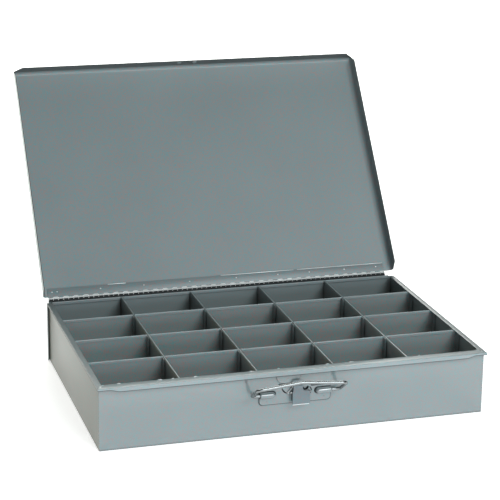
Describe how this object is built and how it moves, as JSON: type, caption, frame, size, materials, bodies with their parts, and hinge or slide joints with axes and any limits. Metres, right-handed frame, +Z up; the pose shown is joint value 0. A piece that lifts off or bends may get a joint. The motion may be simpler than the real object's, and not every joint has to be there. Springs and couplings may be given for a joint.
{
  "type": "compartment box",
  "caption": "Shallow sheet-steel box divided into small open compartments, with a hinged pan lid standing open, a wire carrying handle and a small release lever at the front.",
  "frame": {"origin": "centre of the flat base of the case, on the surface it stands on", "axes": "+X to the right along the front, +Y from the front towards the hinge, +Z up"},
  "size_m": [0.466, 0.528, 0.3376],
  "materials": {
    "grey_enamel": "semi-gloss grey baked enamel",
    "hinge_steel": "bare steel knuckles worn bright",
    "bright_wire": "bright zinc plated wire"
  },
  "bodies": {
    "case": {"back_panel": "grey_enamel", "cross_divider_1_1": "grey_enamel", "cross_divider_1_2": "grey_enamel", "cross_divider_1_3": "grey_enamel", "cross_divider_2_1": "grey_enamel", "cross_divider_2_2": "grey_enamel", "cross_divider_2_3": "grey_enamel", "cross_divider_3_1": "grey_enamel", "cross_divider_3_2": "grey_enamel", "cross_divider_3_3": "grey_enamel", "cross_divider_4_1": "grey_enamel", "cross_divider_4_2": "grey_enamel", "cross_divider_4_3": "grey_enamel", "cross_divider_5_1": "grey_enamel", "cross_divider_5_2": "grey_enamel", "cross_divider_5_3": "grey_enamel", "end_panel_left": "grey_enamel", "end_panel_right": "grey_enamel", "floor_panel": "grey_enamel", "front_panel": "grey_enamel", "hinge_leaf_case": "hinge_steel", "hinge_pin": "hinge_steel", "latch_plate": "grey_enamel", "lever_pin": "bright_wire", "lever_spring": "bright_wire", "lip_tab": "grey_enamel", "long_divider_1": "grey_enamel", "long_divider_2": "grey_enamel", "long_divider_3": "grey_enamel", "long_divider_4": "grey_enamel", "rim_front": "grey_enamel", "rim_left": "grey_enamel", "rim_right": "grey_enamel"},
    "lid": {"lid_pan": "grey_enamel", "hinge_leaf_lid": "hinge_steel"},
    "handle": {"carry_handle": "bright_wire"},
    "lever": {"release_lever": "grey_enamel"}
  },
  "joints": [
    {"name": "lid_hinge", "type": "hinge", "parent": "case", "child": "lid", "pos_m": [0, 0.1544, 0.0783], "axis": [1, 0, 0], "range_deg": [0, 127.25]},
    {"name": "handle_pivot", "type": "hinge", "parent": "case", "child": "handle", "pos_m": [-0.0025, -0.1562, 0.0486], "axis": [1, 0, 0], "range_deg": [-23, 122]},
    {"name": "lever_pivot", "type": "hinge", "parent": "case", "child": "lever", "pos_m": [0.0027, -0.1582, 0.05], "axis": [1, 0, 0], "range_deg": [0, 7], "stiffness_Nm_per_rad": 0.05, "springref_deg": -8.59}
  ]
}
